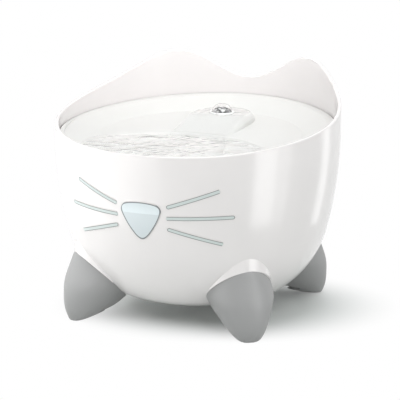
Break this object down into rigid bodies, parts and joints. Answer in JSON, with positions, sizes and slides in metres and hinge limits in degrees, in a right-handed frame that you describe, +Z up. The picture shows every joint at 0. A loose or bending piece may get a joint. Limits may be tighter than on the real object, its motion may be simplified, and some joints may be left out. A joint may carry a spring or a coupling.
{
  "type": "pet water fountain",
  "caption": "Round pet water fountain with ear-shaped rim, face windows and petal feet; a pump lifts water to a spout and down a ramp into the drinking dish.",
  "frame": {"origin": "on the floor, under the axis of the round reservoir", "axes": "+Z up, the face with nose and whiskers looks along -Y, the ears stand at +Y, +X to the right seen from the front"},
  "size_m": [0.22, 0.22, 0.1868],
  "materials": {
    "shell_white": "polished white, slightly pearly",
    "foot_grey": "satin mid grey",
    "nose_aqua": "clear with a pale aqua tint",
    "whisker_aqua": "clear with a pale aqua-grey tint",
    "dish_white": "smooth white",
    "nozzle_clear": "clear",
    "inner_white": "plain moulded",
    "pump_black": "plain moulded",
    "seal_rubber": "soft",
    "foam_grey": "open-cell foam",
    "carbon_black": "fibre pad filled with grains",
    "board_green": "coated board",
    "lamp_clear": "clear",
    "magnet_grey": "sintered ring",
    "steel": "turned"
  },
  "bodies": {
    "reservoir": {"reservoir_shell": "shell_white", "foot_front_right": "foot_grey", "foot_rear_right": "foot_grey", "foot_rear_left": "foot_grey", "foot_front_left": "foot_grey", "foot_screws": "steel", "nose_lens": "nose_aqua", "nose_gasket": "seal_rubber", "whisker_left_upper": "whisker_aqua", "whisker_right_upper": "whisker_aqua", "whisker_left_middle": "whisker_aqua", "whisker_right_middle": "whisker_aqua", "whisker_left_lower": "whisker_aqua", "whisker_right_lower": "whisker_aqua", "led_board": "board_green", "led_lamp": "lamp_clear", "led_cover": "inner_white", "led_cover_seal": "seal_rubber", "led_cover_screws": "steel", "cable_grommet": "seal_rubber"},
    "pump": {"pump_motor_housing": "pump_black", "pump_chamber": "pump_black", "chamber_seal": "seal_rubber", "intake_grille": "pump_black", "intake_sponge": "foam_grey", "suction_cups": "seal_rubber", "impeller_shaft": "steel", "shaft_bush_rear": "seal_rubber", "shaft_bush_front": "seal_rubber", "riser_tube": "inner_white"},
    "impeller": {"rotor_magnet": "magnet_grey", "impeller": "inner_white"},
    "dish": {"drinking_dish": "dish_white", "spout_nozzle": "nozzle_clear"},
    "filter": {"filter_tray": "inner_white", "filter_lid": "inner_white", "filter_foam_pad": "foam_grey", "filter_carbon_pad": "carbon_black"}
  },
  "joints": [
    {"name": "dish_lift", "type": "slide", "parent": "reservoir", "child": "dish", "axis": [0, 0, 1], "range_m": [0, 0.12]},
    {"name": "filter_drop", "type": "slide", "parent": "dish", "child": "filter", "axis": [0, 0, -1], "range_m": [0, 0.03]},
    {"name": "pump_lift", "type": "slide", "parent": "reservoir", "child": "pump", "axis": [0, 0, 1], "range_m": [0, 0.025]},
    {"name": "impeller_spin", "type": "hinge", "parent": "pump", "child": "impeller", "pos_m": [0, 0.03, 0.04], "axis": [0, 1, 0], "continuous": true}
  ]
}
